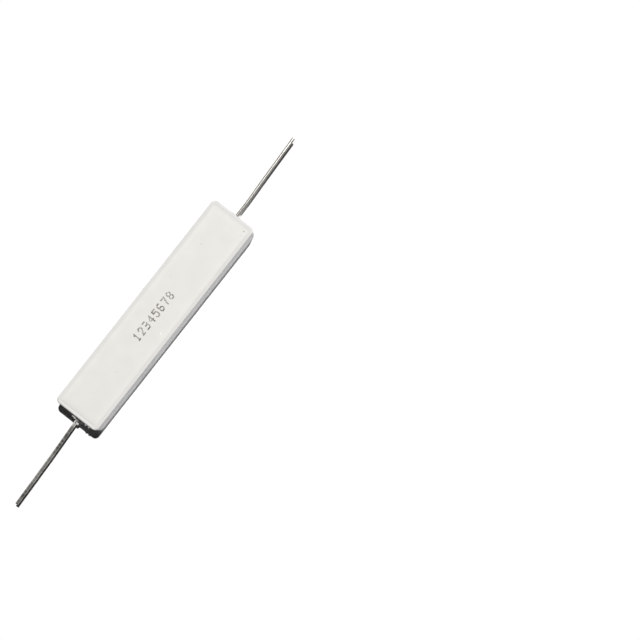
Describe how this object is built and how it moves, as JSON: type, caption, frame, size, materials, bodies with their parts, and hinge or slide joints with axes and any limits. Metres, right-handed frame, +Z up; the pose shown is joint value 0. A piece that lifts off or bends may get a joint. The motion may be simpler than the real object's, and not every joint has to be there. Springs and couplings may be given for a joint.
{
  "type": "axial power resistor",
  "caption": "Wirewound power resistor in a white ceramic box filled with cement, lying on its open side, with a tinned wire lead from each end.",
  "frame": {"origin": "centre of the open side of the case, in the plane of its rim, on which the part lies", "axes": "+X along the leads towards the right lead, +Z up to the closed, marked side, +Y across the case"},
  "size_m": [0.1105, 0.0124, 0.0115],
  "materials": {
    "case_ceramic": "white fired ceramic with a low, even gloss and a few dark specks",
    "cement": "matt grey-white mineral cement, fine sandy grain",
    "core_ceramic": "matt cream ceramic",
    "resistance_alloy": "drawn bare alloy wire",
    "cap_steel": "pressed plated steel",
    "tinned_wire": "bright tinned wire with fine draw marks"
  },
  "bodies": {
    "root": {"ceramic_case": "case_ceramic", "cement_fill": "cement", "core_rod": "core_ceramic", "resistance_wire": "resistance_alloy", "end_cap_left": "cap_steel", "end_cap_right": "cap_steel", "lead_left": "tinned_wire", "lead_right": "tinned_wire"}
  },
  "joints": []
}
